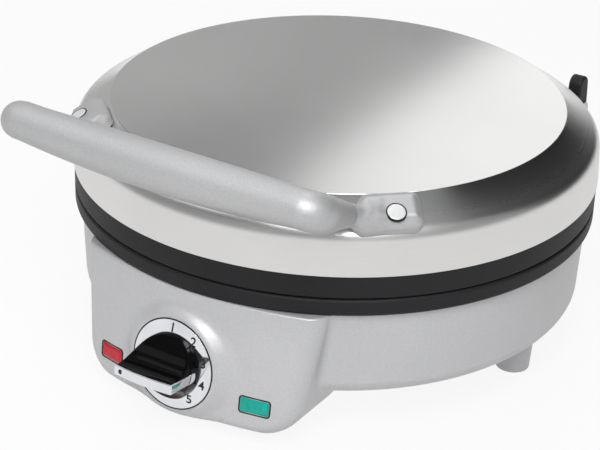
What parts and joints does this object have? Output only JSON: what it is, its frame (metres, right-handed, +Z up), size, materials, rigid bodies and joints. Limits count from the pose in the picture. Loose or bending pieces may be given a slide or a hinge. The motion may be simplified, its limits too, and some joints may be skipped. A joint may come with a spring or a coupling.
{
  "type": "waffle maker",
  "caption": "Round countertop waffle maker with a hinged steel lid, a bar handle across the front, studded plates, and a thermostat dial between indicator lamps.",
  "frame": {"origin": "on the table, midway along the length and on the plane of symmetry", "axes": "+X to the right seen from the front, +Y to the rear where the lid is hinged, +Z up"},
  "size_m": [0.281, 0.3276, 0.1596],
  "materials": {
    "lid_steel": "brushed in one direction, satin",
    "black_plastic": "matt, lightly textured",
    "silver_plastic": "silver satin paint",
    "handle_silver": "silver satin paint",
    "plate_coating": "cast, dark non-stick coating",
    "reflector_sheet": "mill finish",
    "heater_sheath": "dull, heat tinted",
    "zinc_steel": "zinc plated",
    "bright_metal": "polished",
    "cap_silver": "satin",
    "black_gloss": "polished",
    "red_window": "clear coloured",
    "green_window": "clear coloured",
    "bulb_glass": "clear",
    "white_moulding": "matt",
    "brown_moulding": "matt",
    "grey_rubber": "matt"
  },
  "bodies": {
    "base": {"base_housing": "silver_plastic", "lower_rim": "black_plastic", "lower_plate": "plate_coating", "lower_plate_edge": "plate_coating", "lower_heater": "heater_sheath", "lower_reflector": "reflector_sheet", "lower_plate_screws": "zinc_steel", "thermal_fuse": "white_moulding", "fuse_strap": "zinc_steel", "bottom_cover": "reflector_sheet", "bottom_cover_screws": "zinc_steel", "leg_right": "silver_plastic", "leg_left": "silver_plastic", "leg_rear_right": "silver_plastic", "leg_rear_left": "silver_plastic", "leg_screws": "zinc_steel", "foot_pads": "grey_rubber", "front_pads": "grey_rubber", "hinge_pin_right": "zinc_steel", "hinge_pin_left": "zinc_steel", "hinge_clips": "zinc_steel", "dial_ring": "bright_metal", "thermostat_body": "brown_moulding", "thermostat_bracket": "zinc_steel", "thermostat_screws": "zinc_steel", "red_lens": "red_window", "green_lens": "green_window", "red_lamp_holder": "white_moulding", "green_lamp_holder": "white_moulding", "red_bulb": "bulb_glass", "green_bulb": "bulb_glass", "cord_gland": "grey_rubber", "terminal_block": "white_moulding", "terminal_screws": "zinc_steel"},
    "lid": {"lid_cover": "lid_steel", "upper_rim": "black_plastic", "upper_plate": "plate_coating", "upper_plate_edge": "plate_coating", "upper_heater": "heater_sheath", "upper_reflector": "reflector_sheet", "upper_plate_screws": "zinc_steel", "handle": "handle_silver", "handle_screws": "zinc_steel", "handle_caps": "cap_silver", "handle_backing_plates": "zinc_steel"},
    "dial_knob": {"knob": "black_gloss", "knob_strip": "bright_metal", "thermostat_shaft": "zinc_steel"}
  },
  "joints": [
    {"name": "lid_hinge", "type": "hinge", "parent": "base", "child": "lid", "pos_m": [0, 0.1573, 0.092], "axis": [-1, 0, 0], "range_deg": [0, 100]},
    {"name": "knob_turn", "type": "hinge", "parent": "base", "child": "dial_knob", "pos_m": [0, -0.13867, 0.03711], "axis": [0, 0.9925, -0.1219], "range_deg": [0, 270]}
  ]
}
